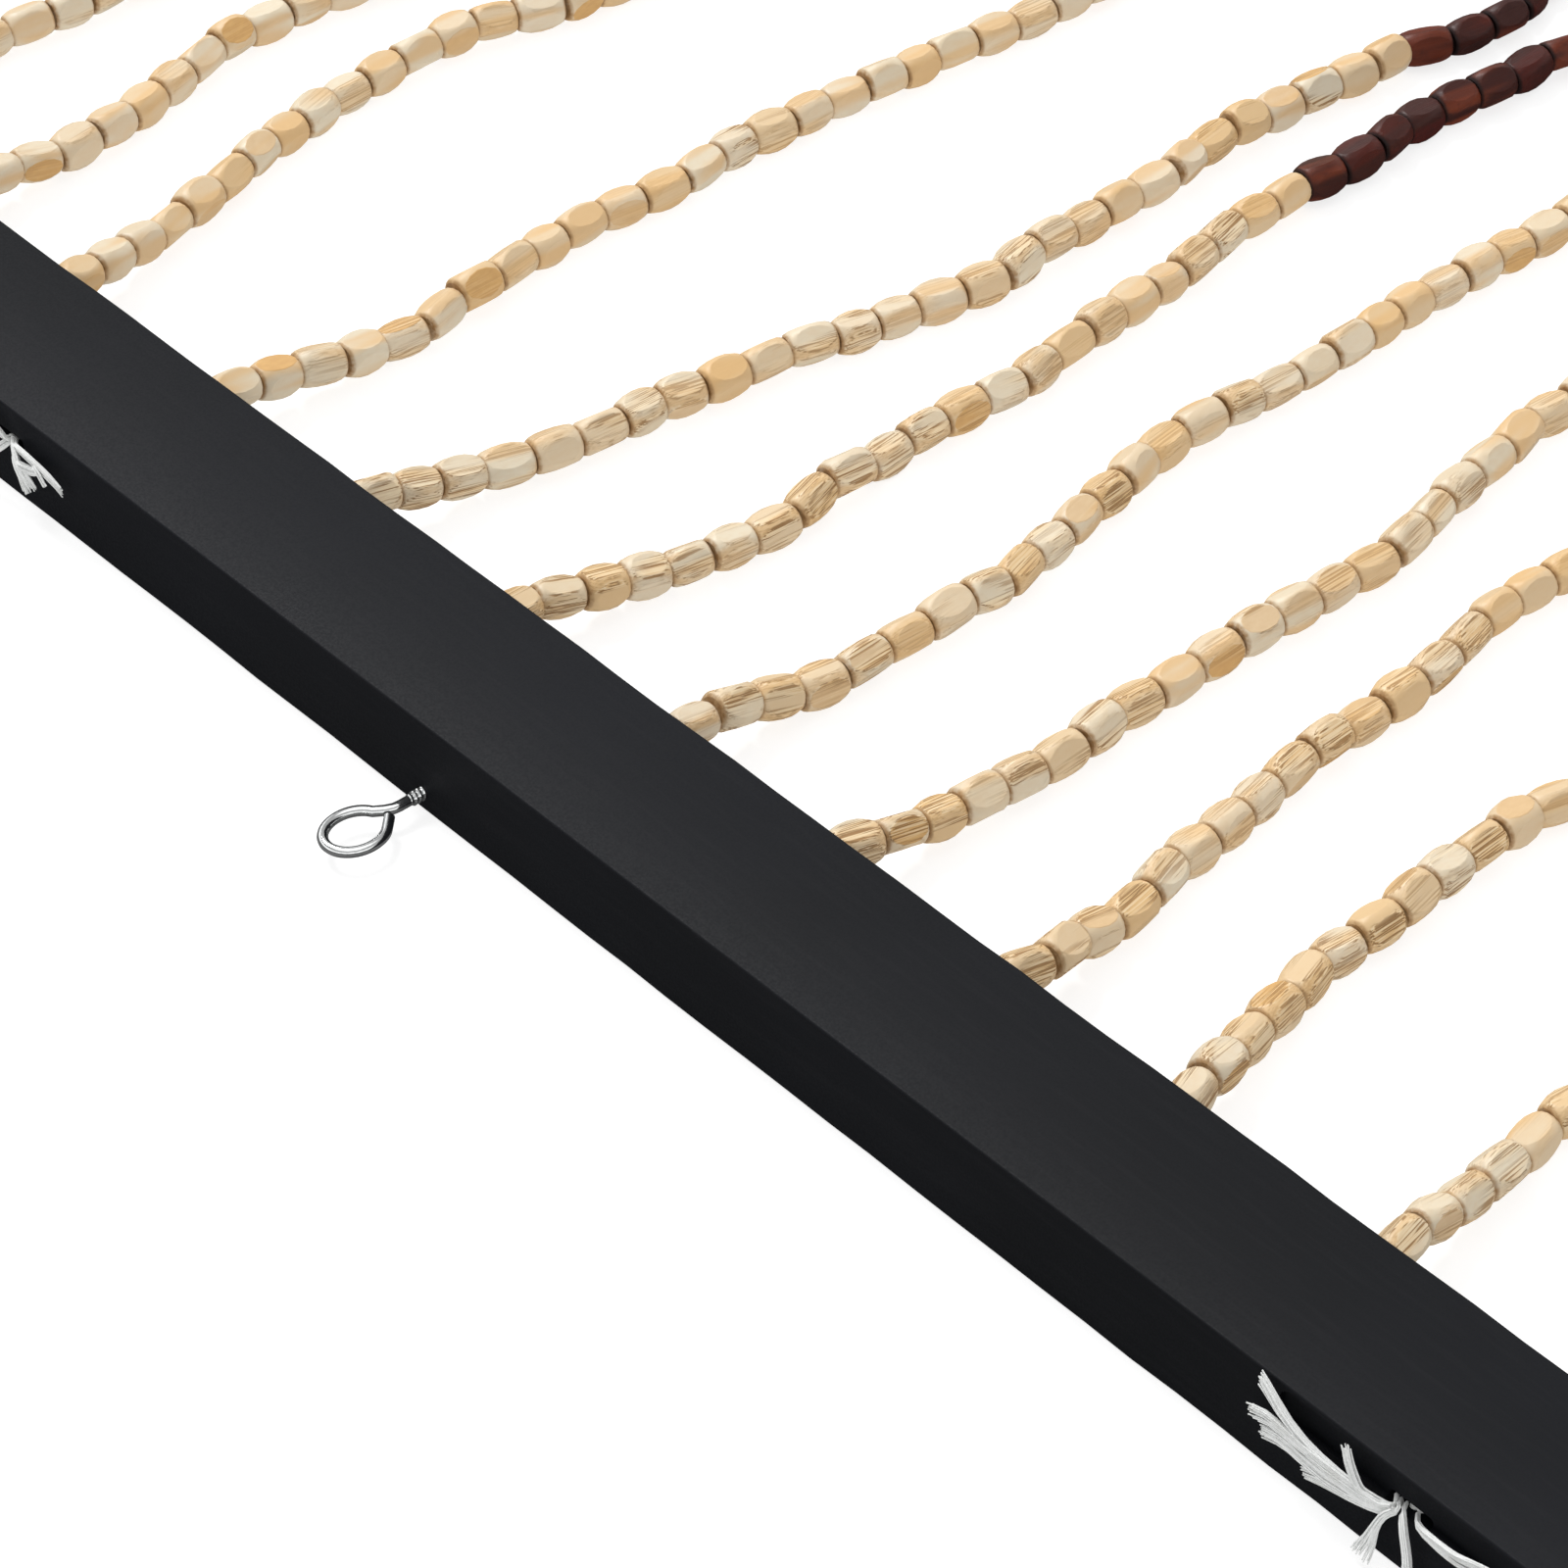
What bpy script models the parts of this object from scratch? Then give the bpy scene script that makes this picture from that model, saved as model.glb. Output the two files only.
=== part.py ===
"""Bead curtain with its headrail, laid flat with the wide face of the headrail up.

Metres, +Z up. The origin is the centre of the headrail's underside. X runs along the
headrail, +Y runs along the strands to their free ends, and everything lies on Z = 0.
"""
import math

import bmesh
import bpy
from mathutils import Vector

MM = 0.001
CLEARANCE = 0.3 * MM
CUT_PAST = 2 * MM
WELD = 0.01 * MM

# Headrail: a batten of rectangular section
RAIL_LENGTH = 900 * MM
RAIL_WIDTH = 30 * MM
RAIL_THICKNESS = 18 * MM
RAIL_EDGE = 0.7 * MM
FRONT_Y = -RAIL_WIDTH / 2
FAR_Y = RAIL_WIDTH / 2

# Strands: counted from the middle one, which is number 0
STRAND_SPACING = 38 * MM
STRANDS_EACH_SIDE = 11
STRAND_LENGTH = 1950 * MM
STRAND_SIZE = 7 * MM
LENGTH_SPREAD = 7 * MM

# A strand leaves the headrail at mid-thickness and comes down to the floor along a soft curve
ROOT_HEIGHT = RAIL_THICKNESS / 2
ROOT_SIZE = 2 * MM
ROOT_SUNK = 2 * MM
ROOT_OUT = 1 * MM
FIRST_BEAD_AT = 4 * MM
FLOOR_AT = 34 * MM

# Fillet strip in the headrail's far edge, which carries the roots of all strands
STRIP_SIZE = 4 * MM
STRIP_OVERHANG = 10 * MM

# Sideways drift in mm of the strands that the photograph shows. The columns are the distances
# in mm from the headrail, and each row is a strand, up to the place where it leaves the picture.
DRIFT_AT = (0, 25, 45, 65, 85, 105, 125, 145, 165, 185, 205, 225, 245)
DRIFT = {
    -4: (0, -3, -4, -9, -12),
    -3: (-2, -9, -15, -20, -23, -24, -18),
    -2: (0, 2, 2, 0, -2, 0, -1, 0, 2, 4),
    -1: (0, 3, 6, 8, 12, 16, 19, 18, 18, 17, 17, 19, 23),
    0: (0, 2, 7, 6, 4, 5, 4, 2, -1, -2, -1, -2, 0),
    1: (0, 2, 3, 4, 2, -3, -5, -3, -3, -3, -3),
    2: (0, 2, 3, 1, 2, 2, 2, -3, -6),
    3: (0, -2, -5, -9, -10, -11, -15),
    4: (-2, -9, -14, -15, -16),
    5: (0, -3, -6),
}

# Beyond the picture each strand sways by two waves: amplitude and wavelength of each
SWAY_WAVES = ((5.0 * MM, 520 * MM), (2.2 * MM, 190 * MM))
SWAY_EASE = 90 * MM
GOLDEN_TURN = math.tau * 0.381966
FIRST_PHASE = 7
END_PHASE = 3

# Stations along a strand: close together where the photograph shows it, wide apart beyond
NEAR_STEP = 20 * MM
NEAR_REACH = 260 * MM
FAR_STEP = 70 * MM

# Screw eyes: one in every tenth gap between strands, counted from the gap beside strand 0
EYE_GAPS = (-10, 0, 10)
EYE_HEIGHT = 3.3 * MM
EYE_WIRE = 1.8 * MM
EYE_CENTRE_OUT = 13.1 * MM
EYE_HALF_ACROSS = 4.35 * MM
EYE_HALF_ALONG = 5.3 * MM
EYE_SHANK_IN = 12 * MM
EYE_NECK_STRAIGHT = 3.2 * MM
EYE_NECK_BENT = 1.2 * MM
EYE_NECK_ASIDE = 0.5 * MM
EYE_TURN_START = math.radians(28)
EYE_TURN_END = math.radians(342)
EYE_STEPS = 20

# String-end tufts: name, place along the headrail, and share of the locks' reach, which is less
# than 0 where they lean the other way
TUFT_PITCH = 312 * MM
TUFT_RIGHT_X = 227 * MM
TUFTS = (("left", TUFT_RIGHT_X - 2 * TUFT_PITCH, 1.0), ("middle", TUFT_RIGHT_X - TUFT_PITCH, -0.6),
         ("right", TUFT_RIGHT_X, 1.0))
POCKET_LENGTH = 12 * MM
POCKET_HEIGHT = 4.8 * MM
POCKET_DEPTH = 8 * MM
POCKET_MIDDLE = 13.6 * MM
KNOT_RADIUS = 2.6 * MM
KNOT_SQUASH = 0.8
KNOT_STRETCH = 1.8
KNOT_Y = FRONT_Y + POCKET_DEPTH - KNOT_RADIUS * KNOT_STRETCH - CLEARANCE
KNOT_HEIGHT = POCKET_MIDDLE - POCKET_HEIGHT / 2 + CLEARANCE + KNOT_RADIUS * KNOT_SQUASH
LOCK_RADIUS = 0.7 * MM
LOCK_TIP = 0.55

# Locks of a tuft in mm: reach along the headrail, height of the tip, distance of the tip from the
# face, and height of the point that the lock bends at
LOCKS = (
    (-28.0, 17.0, 2.2, 13.5),
    (-29.5, 10.6, 3.0, 12.0),
    (-27.0, 8.8, 3.8, 10.5),
    (-19.0, 6.6, 3.0, 9.5),
    (-11.0, 16.6, 2.0, 15.0),
    (-9.5, 0.5, 9.0, 1.6),
    (0.5, 0.5, 11.0, 1.6),
    (14.0, 11.5, 3.0, 13.0),
)
LOCK_STATIONS = (0.0, 0.3, 0.45, 0.7, 1.0)

# A lock starts in the front of its knot at a share of its reach and of its bend, comes straight
# out, keeps clear of the face and bends at a share of its reach
START_ALONG = 0.05
START_UP = 0.12
STRAIGHT_ALONG = 0.14
BEND_ALONG = 0.4
STRAIGHT_OUT = 3.4 * MM
FACE_OUT = 2.6 * MM


def clear_scene():
    for item in list(bpy.data.objects):
        bpy.data.objects.remove(item, do_unlink=True)


def new_collection(name):
    collection = bpy.data.collections.new(name)
    bpy.context.scene.collection.children.link(collection)
    return collection


def plain_material(name, colour, roughness, metallic=0.0):
    material = bpy.data.materials.new(name)
    material.use_nodes = True
    shader = material.node_tree.nodes["Principled BSDF"]
    shader.inputs["Base Color"].default_value = (*colour, 1.0)
    shader.inputs["Roughness"].default_value = roughness
    shader.inputs["Metallic"].default_value = metallic
    return material


def new_object(name, data, collection, material=None):
    made = bpy.data.objects.new(name, data)
    collection.objects.link(made)
    if material:
        data.materials.append(material)
    return made


def block(name, size, centre, collection, material=None):
    """A rectangular block with its size applied to the mesh."""
    mesh = bpy.data.meshes.new(name)
    shape = bmesh.new()
    bmesh.ops.create_cube(shape, size=1.0)
    bmesh.ops.scale(shape, vec=size, verts=shape.verts)
    shape.to_mesh(mesh)
    shape.free()
    made = new_object(name, mesh, collection, material)
    made.location = centre
    return made


def as_cutter(made):
    made.display_type = "WIRE"
    made.hide_render = True
    return made


def cut(target, cutter):
    """Take the cutter's shape out of the target."""
    step = target.modifiers.new(cutter.name, "BOOLEAN")
    step.operation = "DIFFERENCE"
    step.solver = "EXACT"
    step.object = cutter


def fuse(target, guide):
    """Join the guide's shapes, which may cross each other, to the target as one body."""
    step = target.modifiers.new(guide.name, "BOOLEAN")
    step.operation = "UNION"
    step.solver = "EXACT"
    step.use_self = True
    step.object = guide


def smooth_step(value):
    value = min(1.0, max(0.0, value))
    return value * value * (3.0 - 2.0 * value)


def curve_through(knots, values, place):
    """The value at place on a smooth curve through the knots."""
    last = len(values) - 1
    index = 0
    while index < last - 1 and place > knots[index + 1]:
        index += 1
    before, after = max(index - 1, 0), min(index + 2, last)
    span = knots[index + 1] - knots[index]
    part = min(1.0, (place - knots[index]) / span)
    slope_in = (values[index + 1] - values[before]) / (knots[index + 1] - knots[before]) * span
    slope_out = (values[after] - values[index]) / (knots[after] - knots[index]) * span
    square, cube = part ** 2, part ** 3
    return ((2 * cube - 3 * square + 1) * values[index] + (cube - 2 * square + part) * slope_in
            + (3 * square - 2 * cube) * values[index + 1] + (cube - square) * slope_out)


def sway(strand, distance):
    """The waves that stand in for the drift where the photograph shows none."""
    total = 0.0
    for number, (amplitude, wavelength) in enumerate(SWAY_WAVES):
        phase = GOLDEN_TURN * (strand * (number + 1) + FIRST_PHASE)
        total += amplitude * math.sin(math.tau * distance / wavelength + phase)
    return total


def drift(strand, distance):
    """Sideways drift of a strand at a distance from the headrail."""
    seen = DRIFT.get(strand, (0, 0))
    seen_to = DRIFT_AT[len(seen) - 1] * MM
    eased = smooth_step((distance - seen_to) / SWAY_EASE)
    if strand not in DRIFT:
        return smooth_step(distance / SWAY_EASE) * sway(strand, distance)
    drawn = curve_through(DRIFT_AT, seen, min(distance, seen_to) / MM) * MM
    return drawn * (1.0 - eased) + sway(strand, distance) * eased


def strand_height(distance):
    """Height of a strand's middle: from its root down to the floor."""
    lying = STRAND_SIZE / 2
    return lying + (ROOT_HEIGHT - lying) * (1.0 - smooth_step(distance / FLOOR_AT))


def strand_end(strand):
    return STRAND_LENGTH + LENGTH_SPREAD * math.sin(GOLDEN_TURN * strand * END_PHASE)


def strand_stations(strand):
    """Distances from the headrail at which a strand has a section."""
    end = strand_end(strand)
    near = [NEAR_STEP * step for step in range(1, round(NEAR_REACH / NEAR_STEP) + 1)]
    far_count = round((end - NEAR_REACH) / FAR_STEP)
    far = [NEAR_REACH + (end - NEAR_REACH) * step / far_count for step in range(1, far_count + 1)]
    return [FIRST_BEAD_AT] + near + far


def poly_curve(name, points, thickness, resolution, collection, material=None):
    """A wire or strand along points that are (place, share of the thickness)."""
    curve = bpy.data.curves.new(name, "CURVE")
    curve.dimensions = "3D"
    curve.twist_mode = "Z_UP"
    curve.bevel_depth = thickness / 2
    curve.bevel_resolution = resolution
    curve.use_fill_caps = True
    spline = curve.splines.new("POLY")
    spline.points.add(len(points) - 1)
    for point, (place, share) in zip(spline.points, points):
        point.co = (*place, 1.0)
        point.radius = share
    return new_object(name, curve, collection, material)


def mesh_of_curve(curve_object):
    """A closed mesh of a curve, with its caps welded on. The curve is removed."""
    graph = bpy.context.evaluated_depsgraph_get()
    graph.update()
    mesh = bpy.data.meshes.new_from_object(curve_object.evaluated_get(graph))
    shape = bmesh.new()
    shape.from_mesh(mesh)
    bmesh.ops.remove_doubles(shape, verts=shape.verts, dist=WELD)
    bmesh.ops.recalc_face_normals(shape, faces=shape.faces)
    shape.to_mesh(mesh)
    shape.free()
    mesh.transform(curve_object.matrix_world)
    bpy.data.objects.remove(curve_object, do_unlink=True)
    return mesh


def gather(name, meshes, guides):
    """One guide object from several meshes."""
    gathered = bmesh.new()
    for mesh in meshes:
        gathered.from_mesh(mesh)
    together = bpy.data.meshes.new(name)
    gathered.to_mesh(together)
    gathered.free()
    return as_cutter(new_object(name, together, guides))


def strand_mesh(strand, collection):
    """One strand as a four-sided bar that rests flat on the floor."""
    hole = strand * STRAND_SPACING
    corner = math.sqrt(2.0)
    root = ROOT_SIZE / STRAND_SIZE
    points = [((hole, FAR_Y - ROOT_SUNK, ROOT_HEIGHT), root),
              ((hole, FAR_Y + ROOT_OUT, ROOT_HEIGHT), root)]
    for distance in strand_stations(strand):
        place = (hole + drift(strand, distance), FAR_Y + distance, strand_height(distance))
        points.append((place, 1.0))
    bar = poly_curve("strand", points, STRAND_SIZE * corner, 0, collection)
    for point in bar.data.splines[0].points:
        point.tilt = math.pi / 4
    return mesh_of_curve(bar)


def make_strands(collection, guides, material):
    """All strands with their roots fused into the fillet strip."""
    strands = range(-STRANDS_EACH_SIDE, STRANDS_EACH_SIDE + 1)
    bars = gather("strand_bars", [strand_mesh(strand, guides) for strand in strands], guides)
    length = 2 * (STRANDS_EACH_SIDE * STRAND_SPACING + STRIP_OVERHANG)
    centre = (0, FAR_Y - STRIP_SIZE / 2, ROOT_HEIGHT)
    strip = block("strands", (length, STRIP_SIZE, STRIP_SIZE), centre, collection, material)
    fuse(strip, bars)
    return strip


def strip_groove(guides):
    """Cutter for the groove in the far edge that the fillet strip sits in."""
    length = 2 * (STRANDS_EACH_SIDE * STRAND_SPACING + STRIP_OVERHANG + CLEARANCE)
    depth = STRIP_SIZE + CLEARANCE + CUT_PAST
    centre = (0, FAR_Y + CUT_PAST - depth / 2, ROOT_HEIGHT)
    size = (length, depth, STRIP_SIZE + 2 * CLEARANCE)
    return as_cutter(block("strip_groove", size, centre, guides))


def tuft_pocket(side, place, guides):
    """Cutter for the pocket in the front edge that a tuft's knot sits in."""
    depth = POCKET_DEPTH + CUT_PAST
    size = (POCKET_LENGTH, depth, POCKET_HEIGHT)
    centre = (place, FRONT_Y - CUT_PAST + depth / 2, POCKET_MIDDLE)
    return as_cutter(block("pocket_" + side, size, centre, guides))


def eye_place(gap):
    return (gap + 0.5) * STRAND_SPACING


def shank_hole(gap, guides):
    """Cutter for the blind hole that an eye's shank is screwed into."""
    depth = EYE_SHANK_IN + CLEARANCE + CUT_PAST
    mesh = bpy.data.meshes.new("shank_hole")
    shape = bmesh.new()
    radius = EYE_WIRE / 2 + CLEARANCE
    bmesh.ops.create_cone(shape, cap_ends=True, segments=12, radius1=radius, radius2=radius,
                          depth=depth)
    shape.to_mesh(mesh)
    shape.free()
    hole = new_object("shank_hole", mesh, guides)
    hole.rotation_euler = (math.pi / 2, 0, 0)
    hole.location = (eye_place(gap), FRONT_Y - CUT_PAST + depth / 2, EYE_HEIGHT)
    return as_cutter(hole)


def make_rail(collection, guides, material):
    """The batten with its groove, its pockets and its screw holes."""
    size = (RAIL_LENGTH, RAIL_WIDTH, RAIL_THICKNESS)
    rail = block("headrail", size, (0, 0, RAIL_THICKNESS / 2), collection, material)
    edges = rail.modifiers.new("worn edges", "BEVEL")
    edges.width = RAIL_EDGE
    edges.segments = 2
    cut(rail, strip_groove(guides))
    for side, place, _lean in TUFTS:
        cut(rail, tuft_pocket(side, place, guides))
    for gap in EYE_GAPS:
        cut(rail, shank_hole(gap, guides))
    return rail


def make_eye(number, gap, collection, material):
    """A wire eye: a straight shank in the batten and one level turn in front of it."""
    points = [((0, EYE_CENTRE_OUT + EYE_SHANK_IN, 0), 1.0),
              ((0, EYE_HALF_ALONG + EYE_NECK_STRAIGHT, 0), 1.0),
              ((-EYE_NECK_ASIDE, EYE_HALF_ALONG + EYE_NECK_BENT, 0), 1.0)]
    for step in range(EYE_STEPS + 1):
        turn = EYE_TURN_START + (EYE_TURN_END - EYE_TURN_START) * step / EYE_STEPS
        place = (-EYE_HALF_ACROSS * math.sin(turn), EYE_HALF_ALONG * math.cos(turn), 0)
        points.append((place, 1.0))
    eye = poly_curve(f"screw_eye_{number}", points, EYE_WIRE, 2, collection, material)
    eye.location = (eye_place(gap), FRONT_Y - EYE_CENTRE_OUT, EYE_HEIGHT)
    return eye


def bezier(corners, part):
    """The point at a part of the way along a cubic curve with four corners."""
    rest = 1.0 - part
    weights = (rest ** 3, 3 * rest ** 2 * part, 3 * rest * part ** 2, part ** 3)
    total = Vector((0, 0, 0))
    for corner, weight in zip(corners, weights):
        total += Vector(corner) * weight
    return total


def lock_points(lock):
    """Route of one lock from the knot, out of the pocket and along the face to its tip."""
    reach, tip_height, tip_out, bend_height = (value * MM for value in lock)
    start_x = START_ALONG * reach
    start_z = KNOT_HEIGHT + START_UP * (bend_height - KNOT_HEIGHT)
    corners = ((start_x, FRONT_Y, start_z),
               (STRAIGHT_ALONG * reach, FRONT_Y - STRAIGHT_OUT, start_z),
               (BEND_ALONG * reach, FRONT_Y - max(tip_out / 2, FACE_OUT), bend_height),
               (reach, FRONT_Y - tip_out, tip_height))
    return [(bezier(corners, part), 1.0 - (1.0 - LOCK_TIP) * part) for part in LOCK_STATIONS]


def make_tuft(side, place, lean, collection, guides, material):
    """A knot with the locks of frayed string that spread from it."""
    mesh = bpy.data.meshes.new("knot")
    shape = bmesh.new()
    bmesh.ops.create_uvsphere(shape, u_segments=10, v_segments=6, radius=KNOT_RADIUS)
    bmesh.ops.scale(shape, vec=(1.0, KNOT_STRETCH, KNOT_SQUASH), verts=shape.verts)
    knot_place = (0, KNOT_Y, KNOT_HEIGHT)
    bmesh.ops.translate(shape, vec=knot_place, verts=shape.verts)
    shape.to_mesh(mesh)
    shape.free()
    tuft = new_object("tuft_" + side, mesh, collection, material)
    tuft.location = (place, 0, 0)
    routes = [lock_points((reach * lean, *rest)) for reach, *rest in LOCKS]
    bars = [poly_curve("lock", route, 2 * LOCK_RADIUS, 0, guides) for route in routes]
    locks = gather("locks_" + side, [mesh_of_curve(bar) for bar in bars], guides)
    locks.location = (place, 0, 0)
    fuse(tuft, locks)
    return tuft


def main():
    clear_scene()
    parts = new_collection("bead_curtain")
    guides = new_collection("cutters_and_guides")
    black = plain_material("black_paint", (0.022, 0.023, 0.025), 0.5)
    bamboo = plain_material("bamboo", (0.72, 0.53, 0.32), 0.55)
    zinc = plain_material("zinc", (0.62, 0.62, 0.64), 0.3, 1.0)
    string = plain_material("string", (0.78, 0.78, 0.74), 0.9)
    make_rail(parts, guides, black)
    make_strands(parts, guides, bamboo)
    for number, gap in enumerate(EYE_GAPS, start=1):
        make_eye(number, gap, parts, zinc)
    for side, place, lean in TUFTS:
        make_tuft(side, place, lean, parts, guides, string)


main()
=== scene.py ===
import math
import random

import bmesh
import bpy
import numpy as np
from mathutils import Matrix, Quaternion, Vector


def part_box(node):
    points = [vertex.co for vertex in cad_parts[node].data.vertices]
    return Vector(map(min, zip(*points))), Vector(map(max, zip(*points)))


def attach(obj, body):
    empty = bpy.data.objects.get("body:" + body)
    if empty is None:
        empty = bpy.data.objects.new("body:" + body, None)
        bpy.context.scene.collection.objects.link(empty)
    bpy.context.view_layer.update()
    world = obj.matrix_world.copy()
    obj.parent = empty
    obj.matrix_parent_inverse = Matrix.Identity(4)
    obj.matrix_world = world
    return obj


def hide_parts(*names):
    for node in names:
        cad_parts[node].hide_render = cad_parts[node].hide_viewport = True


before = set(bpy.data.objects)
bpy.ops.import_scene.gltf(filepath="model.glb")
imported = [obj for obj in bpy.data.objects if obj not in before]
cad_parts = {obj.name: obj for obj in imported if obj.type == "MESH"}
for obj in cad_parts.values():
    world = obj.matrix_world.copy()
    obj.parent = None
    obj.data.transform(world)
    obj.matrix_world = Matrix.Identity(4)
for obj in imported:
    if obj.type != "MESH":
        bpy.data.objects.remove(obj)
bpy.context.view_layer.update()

BODY = "root"
MM = 0.001

# Headrail, in the sizes of the solids
RAIL_LOW, RAIL_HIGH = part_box("headrail")
FRONT_Y = RAIL_LOW.y
FAR_Y = RAIL_HIGH.y
RAIL_EDGE = 0.4 * MM
RAIL_STEP = 4 * MM
RAIL_WAVE = 0.5 * MM
RAIL_WAVE_SIZE = 9 * MM
RAIL_WAVE_LEVEL = 0.8
WOOD_SMOOTH = 32
CLEARANCE = 0.3 * MM
CUT_PAST = 2 * MM

# Strands, counted from the middle one, which is number 0
STRAND_SPACING = 38 * MM
STRANDS_EACH_SIDE = 11
STRANDS = range(-STRANDS_EACH_SIDE, STRANDS_EACH_SIDE + 1)
STRAND_LENGTH = 1950 * MM
LENGTH_SPREAD = 7 * MM
LYING_HEIGHT = 3.5 * MM
ROOT_HEIGHT = (RAIL_LOW.z + RAIL_HIGH.z) / 2
FLOOR_AT = 34 * MM
FIRST_BEAD_AT = 3 * MM
STRIP_SIZE = 4 * MM
STRIP_OVERHANG = 10 * MM
STRIP_EDGE = 0.3 * MM
DRILL_RADIUS = 1.1 * MM

# Sideways drift in mm of the strands that the photograph shows. The columns are the distances
# in mm from the headrail, and each row is a strand.
DRIFT_AT = (0, 25, 45, 65, 85, 105, 125, 145, 165, 185, 205, 225, 245)
DRIFT = {
    -4: (0, -3, -4, -9, -12),
    -3: (-2, -9, -15, -20, -23, -24, -18),
    -2: (0, 2, 2, 0, -2, 0, -1, 0, 2, 4),
    -1: (0, 3, 6, 8, 12, 16, 19, 18, 18, 17, 17, 19, 23),
    0: (0, 2, 7, 6, 4, 5, 4, 2, -1, -2, -1, -2, 0),
    1: (0, 2, 3, 4, 2, -3, -5, -3, -3, -3, -3),
    2: (0, 2, 3, 1, 2, 2, 2, -3, -6),
    3: (0, -2, -5, -9, -10, -11, -15),
    4: (-2, -9, -14, -15, -16),
    5: (0, -3, -6),
}
SWAY_WAVES = ((5.0 * MM, 520 * MM), (2.2 * MM, 190 * MM))
SWAY_EASE = 90 * MM
GOLDEN_TURN = math.tau * 0.381966
FIRST_PHASE = 7
END_PHASE = 3

# Beads: barrels turned from a stick, with four flats
BEAD_LENGTH = 8.35 * MM
BEAD_BELLY = 3.8 * MM
BEAD_END = 2.75 * MM
BEAD_RIM = 0.28 * MM
BEAD_FLAT = 3.0 * MM
BEAD_HOLE = 0.6 * MM
BORE_DEPTH = 0.8 * MM
BORE_TAPER = 0.02 * MM
FLAT_RIM = 0.13 * MM
BELLY_CURVE = 2.2
BEAD_GAP = 0.14 * MM
JOINT_SHIFT = 0.6 * MM
JOINT_LIFT = 0.9 * MM
LENGTH_VARIES = 0.085
GIRTH_VARIES = 0.07

# Where the first bead of two strands starts, in mm from the headrail
FIRST_BEADS = {0: 0.6, -1: 1.8}

# Brown threads fade along a strand, and are few on this strand and those left of it
FIBRE_FADE = 190 * MM
SMOOTH_STRANDS = -2
SMOOTH_FIBRE = 0.1
FIBRE_VARIES = 0.35

# Looks of the beads: the fine ones lie where the photograph looks
FINE_REACH = 260 * MM
FINE_STRANDS = (-5, 6)
FINE_LOOKS = 4
PLAIN_LOOKS = 2
FINE_SIDES = 16
PLAIN_SIDES = 10
FINE_STATIONS = (0.0, 0.42, 0.78)
PLAIN_STATIONS = (0.0, 0.66)
FINE_SMOOTH = 33
PLAIN_SMOOTH = 24

# Dark lozenges down the middle, each with a pale heart: distances along a strand
LOZENGE_APEX = 186 * MM
LOZENGE_PITCH = 560 * MM
LOZENGE_LENGTH = 420 * MM
LOZENGE_COUNT = 3
LOZENGE_SLOPE = 41 * MM
LOZENGE_HEART = 125 * MM

# Strings
STRING_RADIUS = 0.45 * MM
STRING_SMOOTH = 60
KNOT_LOOP = 1.5 * MM
KNOT_WIRE = 0.42 * MM
KNOT_STEPS = 40

# Tail past the last bead in mm: aside, along, height, then share of the thickness
TAIL = ((0.0, 1.5, 1.4, 1.0), (0.6, 4.0, 0.9, 0.9), (1.4, 8.0, 0.7, 0.8))

# Screw eyes, one for each node, in the sizes of the solids
EYE_XS = (-361 * MM, 19 * MM, 399 * MM)
EYE_HEIGHT = 3.3 * MM
EYE_WIRE = 1.8 * MM
EYE_CENTRE_OUT = 13.1 * MM
EYE_HALF_ACROSS = 4.35 * MM
EYE_HALF_ALONG = 5.3 * MM
EYE_SHANK_IN = 12 * MM
EYE_SIDES = 14
EYE_SMOOTH = 50
RING_STEPS = 40
RING_START = math.radians(24)
RING_END = math.radians(312)
THREAD_PITCH = 0.85 * MM
THREAD_RADIUS = 0.28 * MM
THREAD_TURNS = 12
THREAD_AROUND = 14
THREAD_START = 2.6 * MM
THREAD_OUT = 0.52 * EYE_WIRE

# Routes of the wire in mm. Shank: depth in the wood and share of the thickness. Neck: place across
# and past the ring. Cut end beside the neck: place across and along, from the ring's centre.
EYE_SHANK = ((12.0, 0.35), (10.5, 0.8), (0.0, 0.9), (-1.6, 0.92), (-2.2, 1.0))
EYE_NECK = ((0.0, 3.4), (-0.15, 2.3), (-0.7, 1.1))
EYE_BUTT = ((2.5, 4.35), (1.75, 5.15), (0.95, 5.95))

# Tufts of string ends: node and place along the headrail
TUFTS = (("tuft_left", -397 * MM), ("tuft_middle", -85 * MM), ("tuft_right", 227 * MM))
POCKET_LENGTH = 8 * MM
POCKET_HEIGHT = 2.0 * MM
POCKET_DEPTH = 8 * MM
POCKET_MIDDLE = 11.8 * MM
POCKET_SHIFT = -1.6 * MM
SLOT_START = -25.5 * MM
SLOT_END = 32 * MM
SLOT_MIDDLE = 14.4 * MM
SLOT_HEIGHT = 5.6 * MM
SLOT_DEPTH = 0.8 * MM

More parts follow.
